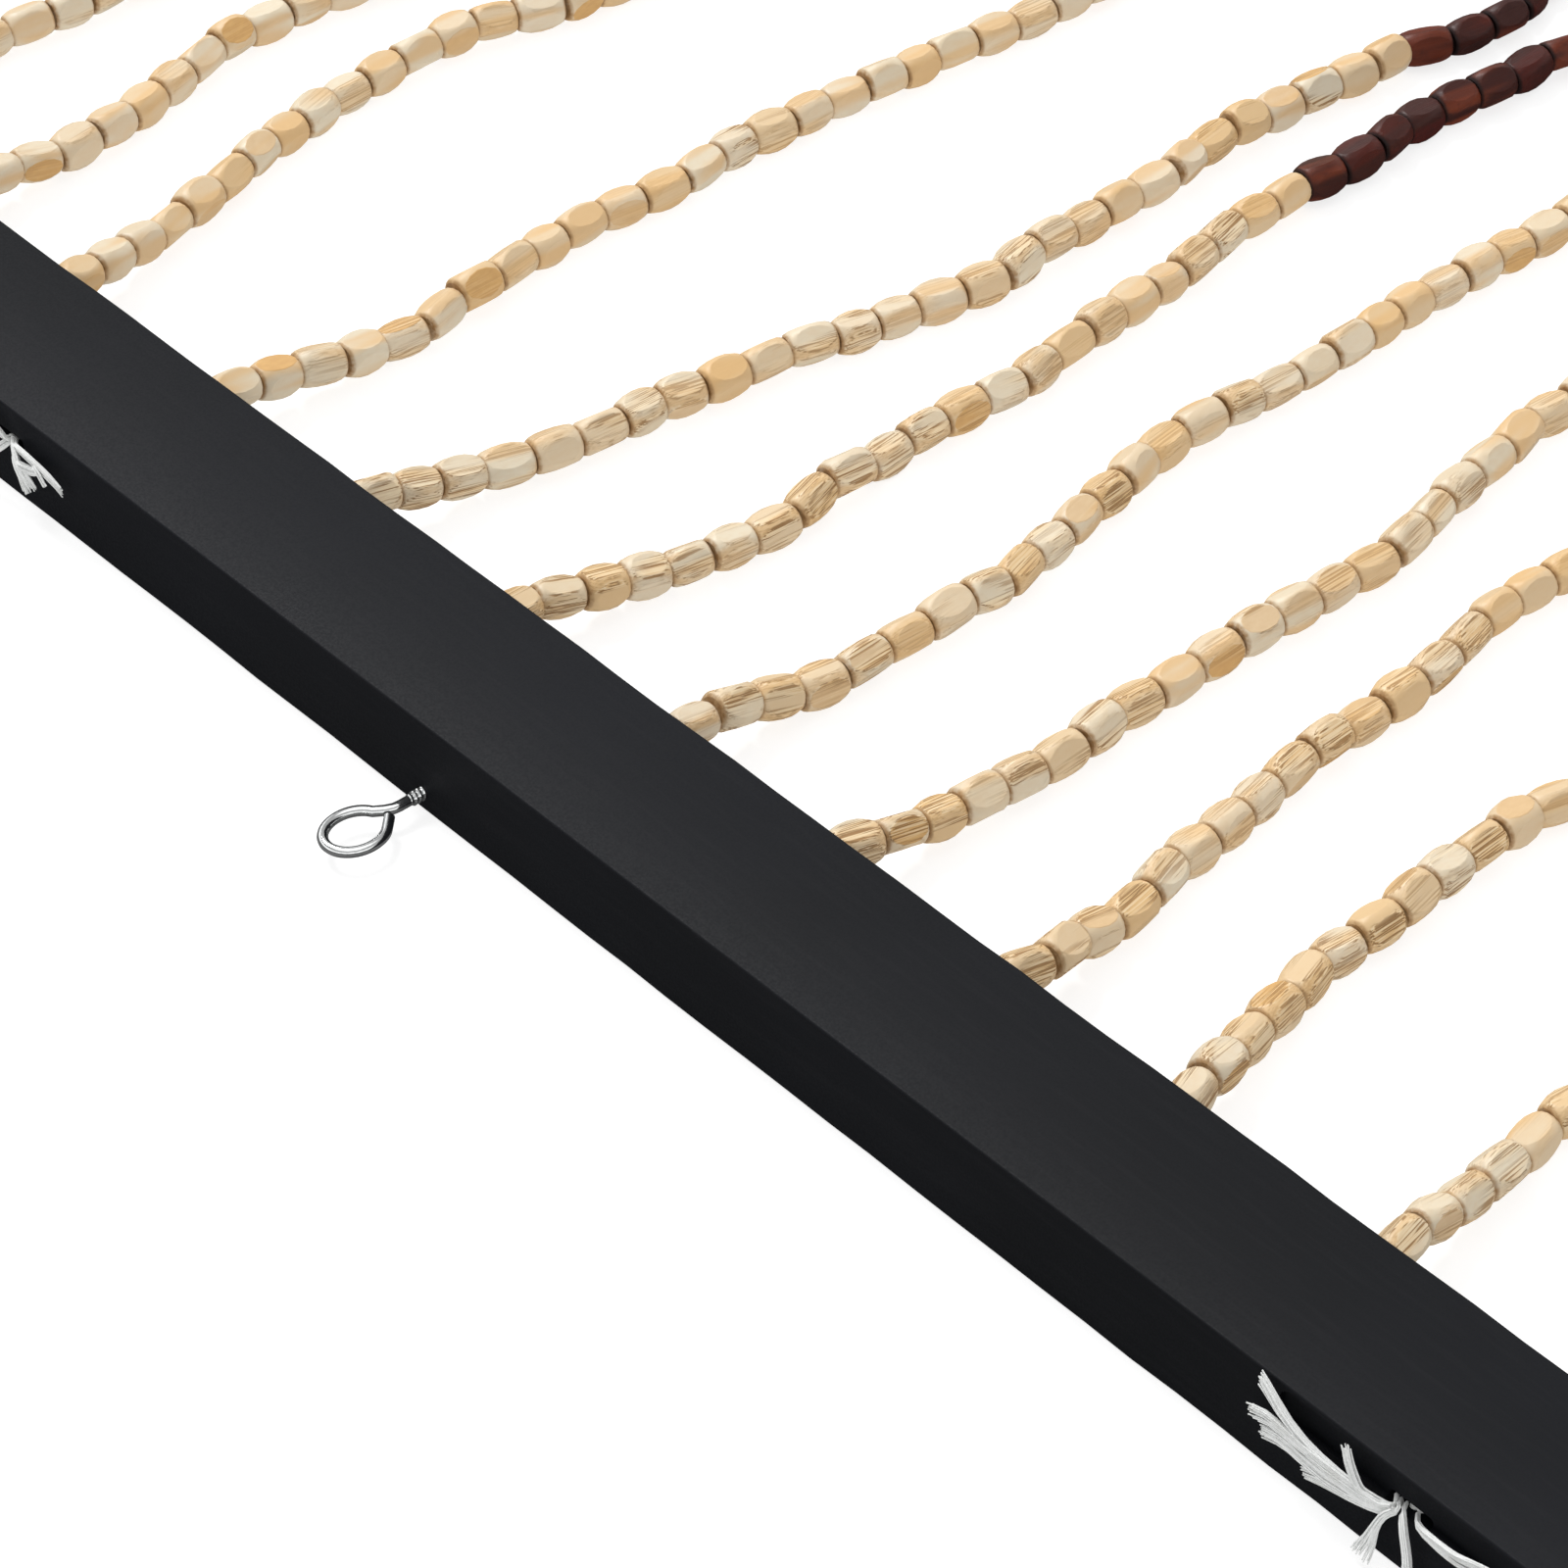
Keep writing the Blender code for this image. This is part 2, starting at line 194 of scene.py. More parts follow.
# Locks of a tuft: number of filaments, half widths in mm at root, middle and tip, then the route
# in mm as (along the headrail, out of the face, height)
OUTER_LOCKS = (
    (26, 0.8, 0.65, 1.2, ((-4.5, -1.1, 11.6), (-3.3, 0.7, 11.9), (-5.2, 1.6, 11.6), (-9.2, 2.0, 11.8),
        (-14.1, 2.0, 12.2), (-18.2, 2.0, 12.8), (-22.5, 2.0, 14.7), (-26.2, 1.6, 17.0),
        (-28.4, 1.2, 17.9))),
    (26, 0.8, 0.75, 1.2, ((-4.5, -1.1, 11.6), (-3.4, 0.7, 11.8), (-5.4, 1.8, 11.5), (-9.2, 2.2, 12.3),
        (-16.1, 2.2, 12.1), (-20.2, 2.2, 12.3), (-25.1, 2.2, 12.6), (-29.0, 2.2, 11.3))),
    (26, 0.8, 1.0, 1.1, ((-4.5, -1.1, 11.6), (-3.5, 0.7, 11.6), (-6.5, 2.0, 11.0), (-13.1, 2.2, 9.7),
        (-18.0, 2.2, 9.9), (-22.2, 2.2, 10.3), (-26.8, 2.2, 9.0))),
    (24, 0.8, 1.1, 1.1, ((-4.5, -1.1, 11.6), (-3.6, 0.8, 11.4), (-6.0, 1.8, 10.8), (-9.8, 2.0, 9.8),
        (-14.5, 2.0, 8.8), (-18.8, 2.0, 7.1))),
    (24, 0.8, 1.0, 0.9, ((-4.5, -1.1, 11.6), (-3.6, 0.8, 11.6), (-7.0, 2.1, 11.2), (-11.0, 2.3, 11.0),
        (-15.0, 2.3, 10.9), (-18.6, 2.3, 11.1))),
    (18, 0.7, 0.75, 0.85, ((-4.0, 0.9, 11.6), (-6.2, 1.8, 12.2), (-8.0, 2.2, 12.6), (-9.1, 2.2, 13.8),
        (-10.6, 2.0, 15.8), (-11.9, 1.5, 18.0))),
    (22, 0.6, 0.7, 1.9, ((-3.7, -1.1, 11.6), (-2.9, 0.8, 11.9), (-4.0, 1.9, 10.7), (-5.0, 2.3, 7.9),
        (-5.7, 2.7, 4.5), (-6.5, 3.4, 1.3))),
    (18, 0.5, 0.8, 1.1, ((-2.8, -1.1, 11.7), (-1.9, 0.5, 11.6), (-0.7, 1.4, 9.8), (0.7, 2.0, 6.8),
        (1.2, 2.3, 4.2), (1.7, 3.4, 1.2), (2.2, 5.6, 0.6))),
    (28, 0.3, 1.2, 2.0, ((-0.7, -1.1, 11.6), (0.9, 0.4, 11.5), (4.9, 1.5, 12.4), (8.6, 1.9, 12.8),
        (11.6, 2.0, 13.7), (15.2, 2.0, 14.4))),
)
MIDDLE_LOCKS = (
    (34, 0.5, 1.4, 2.4, ((-1.0, -1.1, 11.6), (-0.1, 0.4, 11.4), (1.8, 1.4, 10.9), (3.2, 2.0, 9.6),
        (4.9, 2.1, 8.3), (6.9, 2.2, 6.0))),
    (20, 0.5, 0.6, 0.9, ((-0.8, -1.1, 11.7), (0.8, 0.5, 11.5), (4.0, 2.0, 13.2), (9.2, 2.1, 12.7),
        (12.6, 2.1, 12.0), (15.8, 2.1, 11.1))),
    (18, 0.8, 1.0, 0.5, ((3.4, 2.1, 9.8), (5.6, 2.4, 10.6), (8.2, 2.4, 11.4), (10.2, 2.3, 12.3))),
    (14, 0.4, 0.6, 0.8, ((8.6, 2.4, 12.7), (10.2, 2.6, 11.8), (11.6, 2.6, 10.2))),
    (20, 0.6, 0.7, 1.2, ((-1.4, -1.1, 11.7), (-1.2, 0.7, 11.8), (-1.8, 1.6, 13.4), (-3.8, 2.0, 14.8),
        (-7.6, 2.0, 16.0))),
    (22, 0.6, 0.8, 1.3, ((-1.2, -1.1, 11.6), (-1.0, 0.6, 11.4), (-2.2, 2.0, 10.0), (-4.6, 2.2, 7.6),
        (-8.0, 2.4, 4.8))),
)
FILAMENT_RADIUS = 0.16 * MM
LOCK_HALF_THICK = 0.3 * MM
LOCK_STATIONS = 11
FILAMENT_SHORTER = 0.07
FILAMENT_WAVE = 0.12
FILAMENT_STRAY = 0.16
LOCK_FANS_FROM = 0.75
TUFT_KNOT = 0.8 * MM
TUFT_KNOT_IN = 2.1 * MM
TUFT_KNOT_STEPS = 48

# Camera of the photograph: distance and angles round the point that it looks at
LENS = 130.5
SENSOR = 36.0
LOOK_AT = Vector((0.0518, 0.0303, 0.0))
CAMERA_DISTANCE = 0.8792
CAMERA_AZIMUTH = math.radians(48.018)
CAMERA_ELEVATION = math.radians(41.312)

# Studio: brightness of the sky that the object reflects, by height, then the sun
SKY = ((0.0, 0.02), (0.12, 0.02), (0.23, 1.2), (0.48, 1.2), (0.6, 0.42), (0.84, 0.42), (0.92, 1.3),
       (1.0, 1.3))
SUN_STRENGTH = 2.3
SUN_ANGLE = math.radians(20)
SUN_FROM = Vector((-0.72, 0.1, 1.0))
FLOOR_SIZE = 16.0
FLOOR_DROP = 0.05 * MM


# Small helpers for modelling

def deselect_all():
    bpy.ops.object.select_all(action="DESELECT")


def make_active(piece):
    deselect_all()
    piece.select_set(True)
    bpy.context.view_layer.objects.active = piece


def start_edit(piece):
    make_active(piece)
    bpy.ops.object.mode_set(mode="EDIT")
    bpy.ops.mesh.select_mode(type="VERT")


def end_edit():
    bpy.ops.object.mode_set(mode="OBJECT")


def pick(piece, kind, wanted):
    """Select the vertices, edges or faces of a piece in edit mode that pass a test."""
    bpy.ops.mesh.select_mode(type={"verts": "VERT", "edges": "EDGE", "faces": "FACE"}[kind])
    bpy.ops.mesh.select_all(action="DESELECT")
    shape = bmesh.from_edit_mesh(piece.data)
    for item in getattr(shape, kind):
        item.select_set(bool(wanted(item)))
    bmesh.update_edit_mesh(piece.data)


def place_in_mesh(piece):
    """Put a piece's place, turn and scale in its mesh, so that it sits at the origin."""
    make_active(piece)
    bpy.ops.object.transform_apply(location=True, rotation=True, scale=True)


def join(piece, others):
    """Make other meshes part of a piece."""
    make_active(piece)
    for other in others:
        other.select_set(True)
    bpy.ops.object.join()


def apply_all(piece):
    make_active(piece)
    for step in list(piece.modifiers):
        bpy.ops.object.modifier_apply(modifier=step.name)


def smooth_by_angle(piece, degrees):
    make_active(piece)
    bpy.ops.object.shade_smooth_by_angle(angle=math.radians(degrees))


def block(name, low, high):
    """A cube primitive at its size and place."""
    low, high = Vector(low), Vector(high)
    deselect_all()
    bpy.ops.mesh.primitive_cube_add(size=1.0, location=(low + high) / 2)
    piece = bpy.context.object
    piece.name = name
    piece.scale = high - low
    place_in_mesh(piece)
    return piece


def cut_with(piece, cutters):
    """Take the cutters out of a piece, one after another, and drop them."""
    for cutter in cutters:
        step = piece.modifiers.new(cutter.name, "BOOLEAN")
        step.operation = "DIFFERENCE"
        step.solver = "EXACT"
        step.object = cutter
    apply_all(piece)
    for cutter in cutters:
        bpy.data.objects.remove(cutter, do_unlink=True)


def finish_piece(piece, name, material, slot, *nodes):
    """Name a piece, give it its material and fix it to the frame."""
    piece.name = name
    piece.data.name = name
    if material is not None:
        piece.data.materials.clear()
        piece.data.materials.append(material)
    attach(piece, BODY)
    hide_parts(*nodes)


def wire(routes, radius, sides):
    """Wires along routes of (place, share of the radius), made one mesh."""
    deselect_all()
    bpy.ops.curve.primitive_bezier_curve_add(location=(0, 0, 0))
    made = bpy.context.object
    curve = made.data
    curve.splines.clear()
    curve.dimensions = "3D"
    curve.twist_mode = "MINIMUM"
    curve.bevel_depth = radius
    curve.bevel_resolution = (sides - 4) // 2
    curve.use_fill_caps = True
    for route in routes:
        spline = curve.splines.new("POLY")
        spline.points.add(len(route) - 1)
        for point, (place, share) in zip(spline.points, route):
            point.co = (*place, 1.0)
            point.radius = share
    make_active(made)
    bpy.ops.object.convert(target="MESH")
    made = bpy.context.object
    start_edit(made)
    bpy.ops.mesh.select_all(action="SELECT")
    bpy.ops.mesh.remove_doubles(threshold=0.005 * MM)
    bpy.ops.mesh.normals_make_consistent(inside=False)
    end_edit()
    return made


# Routes of the strands, as in the solids

def smooth_step(value):
    value = min(1.0, max(0.0, value))
    return value * value * (3.0 - 2.0 * value)


def curve_through(knots, values, place):
    """The value at place on a smooth curve through the knots."""
    last = len(values) - 1
    index = 0
    while index < last - 1 and place > knots[index + 1]:
        index += 1
    before, after = max(index - 1, 0), min(index + 2, last)
    span = knots[index + 1] - knots[index]
    part = min(1.0, (place - knots[index]) / span)
    slope_in = (values[index + 1] - values[before]) / (knots[index + 1] - knots[before]) * span
    slope_out = (values[after] - values[index]) / (knots[after] - knots[index]) * span
    square, cube = part ** 2, part ** 3
    return ((2 * cube - 3 * square + 1) * values[index] + (cube - 2 * square + part) * slope_in
            + (3 * square - 2 * cube) * values[index + 1] + (cube - square) * slope_out)


def sway(strand, distance):
    """Gentle waves of a strand beyond the picture."""
    total = 0.0
    for number, (amplitude, wavelength) in enumerate(SWAY_WAVES):
        phase = GOLDEN_TURN * (strand * (number + 1) + FIRST_PHASE)
        total += amplitude * math.sin(math.tau * distance / wavelength + phase)
    return total


def drift(strand, distance):
    """Sideways drift of a strand at a distance from the headrail."""
    seen = DRIFT.get(strand, (0, 0))
    seen_to = DRIFT_AT[len(seen) - 1] * MM
    eased = smooth_step((distance - seen_to) / SWAY_EASE)
    if strand not in DRIFT:
        return smooth_step(distance / SWAY_EASE) * sway(strand, distance)
    drawn = curve_through(DRIFT_AT, seen, min(distance, seen_to) / MM) * MM
    return drawn * (1.0 - eased) + sway(strand, distance) * eased


def strand_point(strand, distance):
    """Middle of a strand at a distance from the headrail."""
    height = LYING_HEIGHT + (ROOT_HEIGHT - LYING_HEIGHT) * (1.0 - smooth_step(distance / FLOOR_AT))
    return Vector((strand * STRAND_SPACING + drift(strand, distance), FAR_Y + distance, height))


def strand_end(strand):
    return STRAND_LENGTH + LENGTH_SPREAD * math.sin(GOLDEN_TURN * strand * END_PHASE)


def step_along(strand, distance, reach):
    """The distance at which a strand's point is a straight reach further on."""
    start = strand_point(strand, distance)
    step = reach
    for _ in range(4):
        step *= reach / (strand_point(strand, distance + step) - start).length
    return distance + step


def is_stained(strand, distance):
    """True where a bead belongs to one of the dark lozenges."""
    for number in range(LOZENGE_COUNT):
        along = distance - LOZENGE_APEX - number * LOZENGE_PITCH
        inside = min(along, LOZENGE_LENGTH - along) - abs(strand) * LOZENGE_SLOPE
        if 0.0 <= inside < LOZENGE_HEART:
            return True
    return False


# Shader node helpers

def new_material(name, roughness, **inputs):
    material = bpy.data.materials.new(name)
    material.use_nodes = True
    shader = material.node_tree.nodes["Principled BSDF"]
    shader.inputs["Roughness"].default_value = roughness
    for title, value in inputs.items():
        shader.inputs[title.replace("_", " ").title().replace("Ior", "IOR")].default_value = value
    return material, material.node_tree, shader


def add_node(tree, kind, **settings):
    node = tree.nodes.new(kind)
    for title, value in settings.items():
        setattr(node, title, value)
    return node


def feed(tree, socket, value):
    """Give a socket a number, a colour or what another socket puts out."""
    if isinstance(value, (int, float)):
        socket.default_value = value
    elif isinstance(value, tuple):
        socket.default_value = (*value, 1.0)
    else:
        tree.links.new(value, socket)


def maths(tree, operation, *values):
    """A math node of one or two inputs, each a socket or a number. Gives its output."""
    node = add_node(tree, "ShaderNodeMath", operation=operation)
    for socket, value in zip(node.inputs, values):
        feed(tree, socket, value)
    return node.outputs[0]


def map_range(tree, value, low, high, to_low=0.0, to_high=1.0, smooth=True):
    node = add_node(tree, "ShaderNodeMapRange")
    node.interpolation_type = "SMOOTHSTEP" if smooth else "LINEAR"
    tree.links.new(value, node.inputs["Value"])
    limits = (("From Min", low), ("From Max", high), ("To Min", to_low), ("To Max", to_high))
    for title, number in limits:
        node.inputs[title].default_value = number
    return node.outputs["Result"]


def mix_colours(tree, share, first, second):
    """A colour between two, each a socket or a colour. The share is a socket or a number."""
    node = add_node(tree, "ShaderNodeMix", data_type="RGBA")
    node.clamp_factor = True
    colour_inputs = [socket for socket in node.inputs if socket.type == "RGBA"]
    share_input = [socket for socket in node.inputs if socket.type == "VALUE"][0]
    for socket, value in ((share_input, share), (colour_inputs[0], first), (colour_inputs[1], second)):
        feed(tree, socket, value)
    return [socket for socket in node.outputs if socket.type == "RGBA"][0]


def noise(tree, vector, scale, detail=2.0, roughness=0.5):
    node = add_node(tree, "ShaderNodeTexNoise")
    node.inputs["Scale"].default_value = scale
    node.inputs["Detail"].default_value = detail
    node.inputs["Roughness"].default_value = roughness
    tree.links.new(vector, node.inputs["Vector"])
    return node.outputs["Fac"]


def stretched(tree, vector, scale):
    node = add_node(tree, "ShaderNodeVectorMath", operation="MULTIPLY")
    tree.links.new(vector, node.inputs[0])
    node.inputs[1].default_value = scale
    return node.outputs[0]


def bump(tree, height, strength, distance):
    node = add_node(tree, "ShaderNodeBump")
    node.inputs["Strength"].default_value = strength
    node.inputs["Distance"].default_value = distance
    tree.links.new(height, node.inputs["Height"])
    return node.outputs["Normal"]


def new_group(name, inputs, outputs):
    """A shader node group with inputs of (name, kind) and named outputs that are values."""
    group = bpy.data.node_groups.new(name, "ShaderNodeTree")
    for title, kind in inputs:
        group.interface.new_socket(title, in_out="INPUT", socket_type=kind)
    for title in outputs:
        group.interface.new_socket(title, in_out="OUTPUT", socket_type="NodeSocketFloat")
    return group, group.nodes.new("NodeGroupInput"), group.nodes.new("NodeGroupOutput")


def finish_shader(tree, shader, colour, normal, roughness=None):
    tree.links.new(colour, shader.inputs["Base Color"])
    tree.links.new(normal, shader.inputs["Normal"])
    if roughness is not None:
        tree.links.new(roughness, shader.inputs["Roughness"])


def make_bead_group():
    """Masks of a bead's surface, from its own coordinates in mm and its random number.

    Fibre: the brown threads that run lengthwise. Ridge: the pale stripes between them. Flat: the
    four flats. Skin: the flat that was the outside of the cane. End: the sawn ends. Facet: a value
    that differs from side to side. Mottle: fine clouds.
    """
    group, given, made = new_group(
        "cane_bead_masks", (("Place", "NodeSocketVector"), ("Seed", "NodeSocketFloat")),
        ("Fibre", "Flat", "Skin", "End", "Facet", "Mottle", "Ridge"))
    links = group.links
    place, seed = given.outputs["Place"], given.outputs["Seed"]
    split = add_node(group, "ShaderNodeSeparateXYZ")
    links.new(place, split.inputs[0])
    shift = add_node(group, "ShaderNodeCombineXYZ")
    for index, factor in enumerate((371.0, 913.0, 537.0)):
        links.new(maths(group, "MULTIPLY", seed, factor), shift.inputs[index])

    def own(scale):
        moved = add_node(group, "ShaderNodeVectorMath", operation="ADD")
        links.new(stretched(group, place, scale), moved.inputs[0])
        links.new(shift.outputs[0], moved.inputs[1])
        return moved.outputs[0]

    threads = noise(group, own((1.0, 1.0, 0.018)), 3.8, 1.0, 0.5)
    broken = noise(group, own((1.0, 1.0, 0.3)), 1.0, 1.0)
    uneven = maths(group, "ADD", threads, maths(group, "MULTIPLY", broken, 0.16))
    links.new(map_range(group, uneven, 0.60, 0.66), made.inputs["Fibre"])
    links.new(map_range(group, uneven, 0.56, 0.46), made.inputs["Ridge"])
    across = maths(group, "MAXIMUM", maths(group, "ABSOLUTE", split.outputs["X"]),
                   maths(group, "ABSOLUTE", split.outputs["Y"]))
    links.new(map_range(group, across, 2.65, 2.86), made.inputs["Flat"])
    links.new(map_range(group, split.outputs["X"], 2.87, 2.95), made.inputs["Skin"])
    along = maths(group, "ABSOLUTE", split.outputs["Z"])
    links.new(map_range(group, along, 3.55, 4.15), made.inputs["End"])
    links.new(noise(group, own((1.0, 1.0, 0.15)), 0.28, 1.0), made.inputs["Facet"])
    links.new(noise(group, own((1.0, 1.0, 0.5)), 0.9, 3.0, 0.6), made.inputs["Mottle"])
    return group


def attribute(tree, name, output="Fac"):
    node = add_node(tree, "ShaderNodeAttribute", attribute_name=name)
    node.attribute_type = "GEOMETRY"
    return node.outputs[output]


def bead_inputs(tree, masks):
    """A bead's random number and its tone, then the masks of its surface by name."""
    seed = attribute(tree, "bead_seed")
    node = add_node(tree, "ShaderNodeGroup", node_tree=masks)
    tree.links.new(attribute(tree, "bead_at", "Vector"), node.inputs["Place"])
    tree.links.new(seed, node.inputs["Seed"])
    return seed, attribute(tree, "bead_tone"), node.outputs


def make_bamboo(masks):
    """Plain cane: cream to tan, with brown threads on the flats and one golden side."""
    material, tree, shader = new_material("pale_cane", 0.46, specular_ior_level=0.35)
    seed, tone, mask = bead_inputs(tree, masks)
    skin, fibre = attribute(tree, "bead_skin"), attribute(tree, "bead_fibre")
    facet = map_range(tree, mask["Facet"], 0.40, 0.66)
    cream = mix_colours(tree, seed, (0.68, 0.605, 0.465), (0.665, 0.565, 0.42))
    pale = mix_colours(tree, tone, cream, (0.65, 0.45, 0.235))
    side = mix_colours(tree, maths(tree, "MULTIPLY", facet, 0.64), pale, (0.65, 0.395, 0.155))
    golden = mix_colours(tree, mask["Mottle"], (0.68, 0.43, 0.17), (0.50, 0.26, 0.08))
    skin_share = maths(tree, "MULTIPLY", mask["Skin"], skin)
    sided = mix_colours(tree, skin_share, side, golden)
    flats = map_range(tree, mask["Flat"], 0.0, 1.0, 0.25, 1.0, smooth=False)
    shown = maths(tree, "MULTIPLY", maths(tree, "MULTIPLY", flats, fibre),
                  map_range(tree, mask["Facet"], 0.38, 0.52))
    threads = maths(tree, "MULTIPLY", mask["Fibre"], shown)
    ridges = maths(tree, "MULTIPLY", mask["Ridge"], shown)
    grained = mix_colours(tree, maths(tree, "MULTIPLY", threads, 0.9), sided, (0.26, 0.135, 0.045))
    ridged = mix_colours(tree, maths(tree, "MULTIPLY", ridges, 0.55), grained, (0.84, 0.72, 0.50))
    mottled = mix_colours(tree, map_range(tree, mask["Mottle"], 0.3, 0.7, 0.0, 0.16), ridged,
                          (0.61, 0.39, 0.175))
    # Painted shade: the ends are darkened to brown, partly for the end grain and partly as shade in the gaps
    # between beads.
    end_grain_and_shade_share = maths(tree, "MULTIPLY", mask["End"], map_range(tree, mask["Mottle"], 0.3, 0.65, 0.45, 1.0))
    with_end_grain_and_shade = mix_colours(tree, end_grain_and_shade_share, mottled, (0.34, 0.19, 0.075))
    height = maths(tree, "SUBTRACT", maths(tree, "MULTIPLY", mask["Mottle"], 0.3), threads)
    finish_shader(tree, shader, with_end_grain_and_shade, bump(tree, height, 0.8, 0.14 * MM),
                  map_range(tree, threads, 0.0, 1.0, 0.42, 0.62))
    return material


def make_stained(masks):
    """Cane stained dark: red brown to near black, with a low gloss."""
    material, tree, shader = new_material("stained_cane", 0.4, specular_ior_level=0.22)
    _seed, tone, mask = bead_inputs(tree, masks)
    brown = mix_colours(tree, tone, (0.050, 0.0052, 0.0038), (0.150, 0.029, 0.0095))
    facet = map_range(tree, mask["Facet"], 0.38, 0.62)
    sided = mix_colours(tree, facet, brown, (0.040, 0.0085, 0.0055))
    # Painted shade: the ends go near black, partly for the end grain and partly as shade in the gaps between
    # beads.
    dark_ends_grain_and_shade = mix_colours(tree, maths(tree, "MULTIPLY", mask["End"], 0.9), sided, (0.008, 0.004, 0.004))
    worn = mix_colours(tree, map_range(tree, mask["Mottle"], 0.5, 0.75, 0.0, 0.35), dark_ends_grain_and_shade,
                       (0.020, 0.006, 0.006))
    height = maths(tree, "ADD", maths(tree, "MULTIPLY", mask["Fibre"], -0.4), mask["Mottle"])
    finish_shader(tree, shader, worn, bump(tree, height, 0.35, 0.1 * MM),
                  map_range(tree, mask["Mottle"], 0.3, 0.7, 0.34, 0.5))
    return material


def make_paint():
    """Satin black paint over wood, with faint streaks of the grain."""
    material, tree, shader = new_material("satin_black_paint", 0.5, specular_ior_level=0.08)
    place = add_node(tree, "ShaderNodeTexCoord").outputs["Object"]
    cloud = noise(tree, place, 9.0, 3.0, 0.55)
    streak = noise(tree, stretched(tree, place, (0.06, 1.0, 1.0)), 900.0, 3.0, 0.6)
    grit = noise(tree, place, 2600.0, 2.0, 0.5)
    colour = mix_colours(tree, map_range(tree, cloud, 0.3, 0.7), (0.0080, 0.0087, 0.0112),
                         (0.0061, 0.0066, 0.0080))
    streaked = mix_colours(tree, map_range(tree, streak, 0.45, 0.75, 0.0, 0.2), colour,
                           (0.015, 0.015, 0.017))
    height = maths(tree, "ADD", maths(tree, "MULTIPLY", streak, 0.7), maths(tree, "MULTIPLY", grit, 0.3))
    finish_shader(tree, shader, streaked, bump(tree, height, 0.2, 0.04 * MM),
                  map_range(tree, grit, 0.3, 0.7, 0.44, 0.58))
    return material


def make_zinc():
    """Bright zinc plate with fine scuffs."""
    material, tree, shader = new_material("bright_zinc", 0.1, metallic=1.0)
    place = add_node(tree, "ShaderNodeTexCoord").outputs["Object"]
    scuff = noise(tree, place, 1400.0, 3.0, 0.6)
    colour = mix_colours(tree, map_range(tree, scuff, 0.35, 0.7), (0.90, 0.91, 0.91), (0.76, 0.78, 0.78))
    finish_shader(tree, shader, colour, bump(tree, scuff, 0.2, 0.03 * MM),
                  map_range(tree, scuff, 0.3, 0.75, 0.07, 0.16))
    return material


def make_string_material():
    """White cotton with the fine lines of its filaments."""
    material, tree, shader = new_material("white_string", 0.8, specular_ior_level=0.2, sheen_weight=0.2)
    place = add_node(tree, "ShaderNodeTexCoord").outputs["Object"]
    fuzz = noise(tree, place, 3000.0, 3.0, 0.65)
    soil = noise(tree, place, 240.0, 2.0, 0.5)
    white = mix_colours(tree, map_range(tree, fuzz, 0.3, 0.7), (0.66, 0.67, 0.66), (0.76, 0.77, 0.76))
    soiled = mix_colours(tree, map_range(tree, soil, 0.5, 0.75, 0.0, 0.35), white, (0.50, 0.50, 0.46))
    finish_shader(tree, shader, soiled, bump(tree, fuzz, 0.6, 0.08 * MM))
    return material


# Headrail

def make_rail(paint):
    """The batten: soft long edges, not quite straight, with its groove, pockets and holes."""
    rail = block("headrail_batten", RAIL_LOW, RAIL_HIGH)
    start_edit(rail)
    pick(rail, "edges", lambda edge: abs(edge.verts[0].co.x - edge.verts[1].co.x) > RAIL_STEP)
    bpy.ops.mesh.subdivide(number_cuts=round((RAIL_HIGH.x - RAIL_LOW.x) / RAIL_STEP) - 1)
    bpy.ops.mesh.select_mode(type="EDGE")
    bpy.ops.mesh.select_all(action="DESELECT")
    bpy.ops.mesh.edges_select_sharp(sharpness=math.radians(40))
    bpy.ops.mesh.bevel(offset=RAIL_EDGE, segments=3)
    end_edit()
    wavy = rail.vertex_groups.new(name="uneven edges")
    for vertex in rail.data.vertices:
        near_far_top = (Vector((0, FAR_Y, RAIL_HIGH.z)) - Vector((0, *vertex.co[1:]))).length
        near_low_front = (Vector((0, FRONT_Y, RAIL_LOW.z)) - Vector((0, *vertex.co[1:]))).length
        if min(near_far_top, near_low_front) < 1.2 * RAIL_EDGE:
            wavy.add([vertex.index], 1.0, "REPLACE")
    clouds = bpy.data.textures.new("edge waves", "CLOUDS")
    clouds.noise_scale = RAIL_WAVE_SIZE
    waves = rail.modifiers.new("edge waves", "DISPLACE")
    waves.texture = clouds
    waves.texture_coords = "LOCAL"
    waves.vertex_group = "uneven edges"
    waves.strength = RAIL_WAVE
    waves.mid_level = RAIL_WAVE_LEVEL
    apply_all(rail)
    cut_with(rail, rail_cutters())
    smooth_by_angle(rail, WOOD_SMOOTH)
    finish_piece(rail, "headrail_batten", paint, "black_paint", "headrail")


def rounded_cutter(name, low, high, radius):
    """A block with its edges along Y rounded, to cut a slot with round ends."""
    cutter = block(name, low, high)
    start_edit(cutter)
    pick(cutter, "edges", lambda edge: abs(edge.verts[0].co.y - edge.verts[1].co.y) > radius / 2)
    bpy.ops.mesh.bevel(offset=radius, segments=5)
    end_edit()
    return cutter


def rod(sides, radius, depth, middle):
    """A cylinder along Y, to cut a hole."""
    deselect_all()
    bpy.ops.mesh.primitive_cylinder_add(vertices=sides, radius=radius, depth=depth, location=middle,
                                        rotation=(math.pi / 2, 0, 0))
    made = bpy.context.object
    place_in_mesh(made)
    return made


